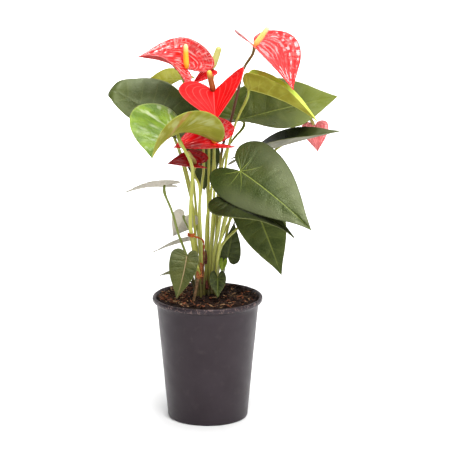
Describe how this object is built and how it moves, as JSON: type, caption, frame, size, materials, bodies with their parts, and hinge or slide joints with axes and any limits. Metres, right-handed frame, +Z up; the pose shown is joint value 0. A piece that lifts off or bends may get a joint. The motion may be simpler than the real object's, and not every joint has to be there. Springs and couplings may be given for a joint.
{
  "type": "potted plant",
  "caption": "Potted anthurium: heart-shaped leaves and red spathes with yellow spadices on long stalks, rising from soil in a tapered plastic nursery pot.",
  "frame": {"origin": "middle of the flat underside of the pot", "axes": "+Z up, +X to the right and +Y away from the front of the plant"},
  "size_m": [0.254, 0.2302, 0.4322],
  "materials": {
    "pot": "dark grey, satin, scuffed",
    "soil": "coarse bark and peat mix",
    "tie": "soft tie, orange brown",
    "root": "brown bark",
    "leaf": "dark green, satin",
    "young_leaf": "olive green, glossy",
    "stalk": "green, satin",
    "spathe": "red, waxy gloss",
    "spadix": "yellow, finely bumped"
  },
  "bodies": {
    "root": {"pot": "pot", "soil": "soil", "plant_tie": "tie", "aerial_root": "root", "leaf_left_large": "leaf", "leaf_back_olive": "young_leaf", "leaf_young_folded": "young_leaf", "leaf_right_large": "leaf", "leaf_right_young": "young_leaf", "leaf_right_edge": "leaf", "leaf_front_large": "leaf", "leaf_front_under": "leaf", "leaf_lower_right": "leaf", "leaf_base_front": "leaf", "leaf_left_silver": "leaf", "leaf_centre_back": "leaf", "leaf_rear_right": "leaf", "leaf_rear_left": "leaf", "leaf_small_dark": "leaf", "leaf_inner_silver": "leaf", "leaf_low_left": "leaf", "leaf_low_tip": "leaf", "leaf_base_right": "leaf", "leaf_base_bright": "young_leaf", "stalk_left_large": "stalk", "stalk_back_olive": "stalk", "stalk_young_folded": "stalk", "stalk_right_large": "stalk", "stalk_right_young": "stalk", "stalk_right_edge": "stalk", "stalk_front_large": "stalk", "stalk_front_under": "stalk", "stalk_lower_right": "stalk", "stalk_base_front": "stalk", "stalk_left_silver": "stalk", "stalk_centre_back": "stalk", "stalk_rear_right": "stalk", "stalk_rear_left": "stalk", "flower_stalk_upper_left": "stalk", "flower_stalk_centre": "stalk", "flower_stalk_upper_right": "stalk", "flower_stalk_lower_centre": "stalk", "flower_stalk_lower_left": "stalk", "flower_stalk_far_right": "stalk", "flower_stalk_back_green": "stalk", "spathe_upper_left": "spathe", "spathe_centre": "spathe", "spathe_upper_right": "spathe", "spathe_lower_centre": "spathe", "spathe_lower_left": "spathe", "spathe_far_right": "spathe", "spathe_back_green": "spathe", "spadix_upper_left": "spadix", "spadix_centre": "spadix", "spadix_upper_right": "spadix", "spadix_lower_centre": "spadix", "spadix_lower_left": "spadix", "spadix_far_right": "spadix", "spadix_back_green": "spadix"}
  },
  "joints": []
}
